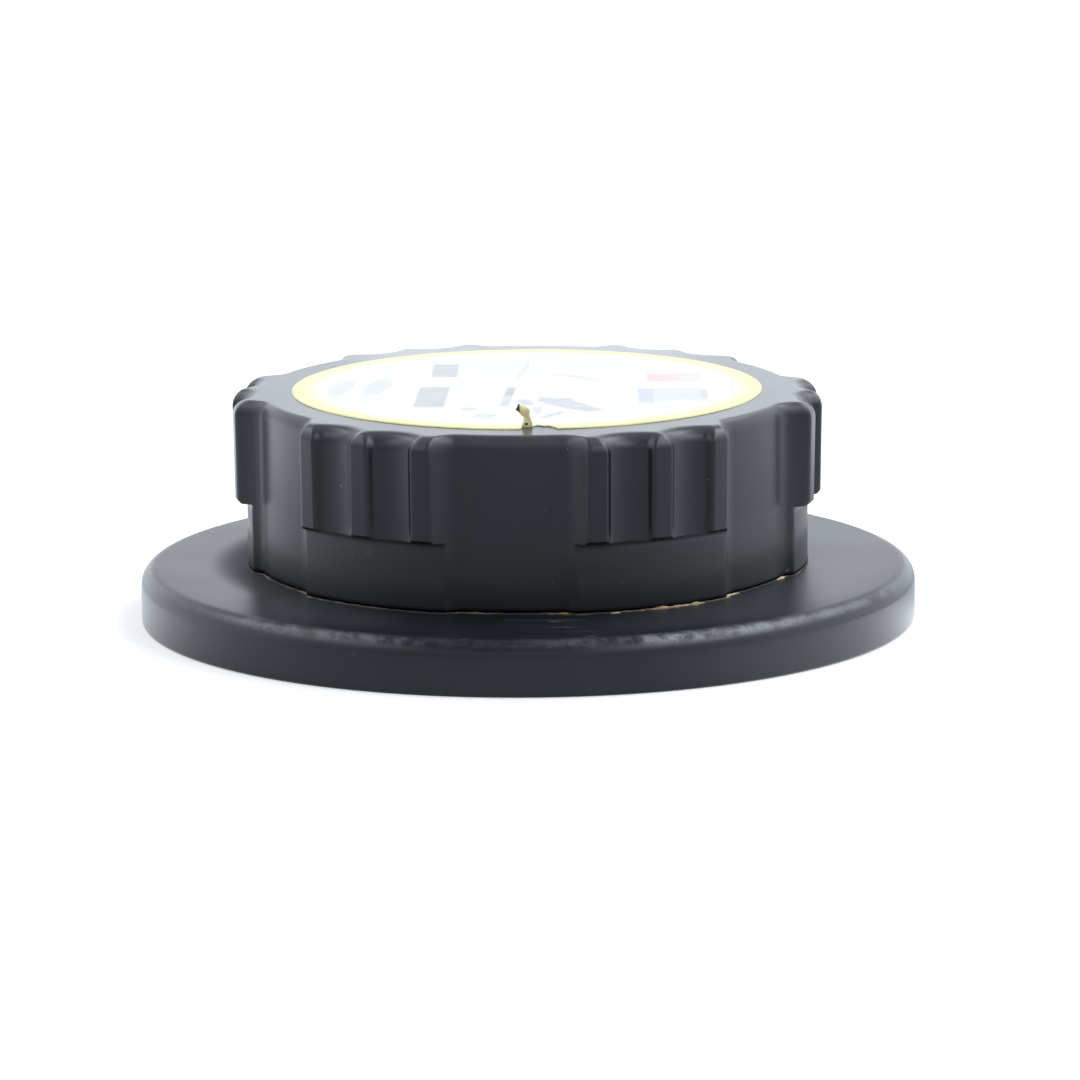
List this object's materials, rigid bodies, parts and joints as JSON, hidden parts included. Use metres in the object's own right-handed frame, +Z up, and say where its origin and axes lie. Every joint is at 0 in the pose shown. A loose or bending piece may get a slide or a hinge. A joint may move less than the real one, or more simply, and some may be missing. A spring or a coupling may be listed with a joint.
{
  "type": "coolant reservoir cap",
  "caption": "Round screw cap for a coolant reservoir, with a ribbed grip, a wide flange, a label on top and a pressure and vacuum valve inside.",
  "frame": {"origin": "centre of the flange's foot, in the plane that the cap rests on", "axes": "+Z up along the cap's axis, from the open mouth to the label; -Y is the front, as in the picture"},
  "size_m": [0.078, 0.078, 0.0256],
  "materials": {
    "black_plastic": "satin moulded black plastic, scuffed along its edges",
    "label_film": "white printed film with a yellow rim",
    "grey_plastic": "dark grey glass-filled plastic",
    "pale_plastic": "natural off-white bearing plastic",
    "rubber": "black sealing rubber",
    "spring_steel": "bright spring steel",
    "brass": "turned brass"
  },
  "bodies": {
    "cap_body": {"threaded_body": "black_plastic", "ratchet_ring": "pale_plastic", "valve_housing": "grey_plastic", "upper_neck_seal": "rubber", "lower_neck_seal": "rubber", "roof_seal": "rubber", "housing_ring": "spring_steel", "spring_cover": "grey_plastic", "cover_ring": "spring_steel", "pressure_spring": "spring_steel"},
    "grip": {"grip_shell": "black_plastic", "label": "label_film"},
    "pressure_valve": {"pressure_piston": "pale_plastic", "pressure_gasket": "rubber", "spring_washer": "spring_steel", "vacuum_spring": "spring_steel"},
    "vacuum_poppet": {"vacuum_valve": "brass", "vacuum_clip": "spring_steel"}
  },
  "joints": [
    {"name": "grip_click", "type": "hinge", "parent": "cap_body", "child": "grip", "pos_m": [0, 0, 0], "axis": [0, 0, 1], "range_deg": [-360, 0]},
    {"name": "pressure_lift", "type": "slide", "parent": "cap_body", "child": "pressure_valve", "axis": [0, 0, 1], "range_m": [0, 0.0025], "stiffness_N_per_m": 2000, "springref_m": -0.001, "deforming": ["pressure_spring"]},
    {"name": "vacuum_drop", "type": "slide", "parent": "pressure_valve", "child": "vacuum_poppet", "axis": [0, 0, -1], "range_m": [0, 0.0012], "stiffness_N_per_m": 150, "springref_m": -0.001, "deforming": ["vacuum_spring"]}
  ]
}
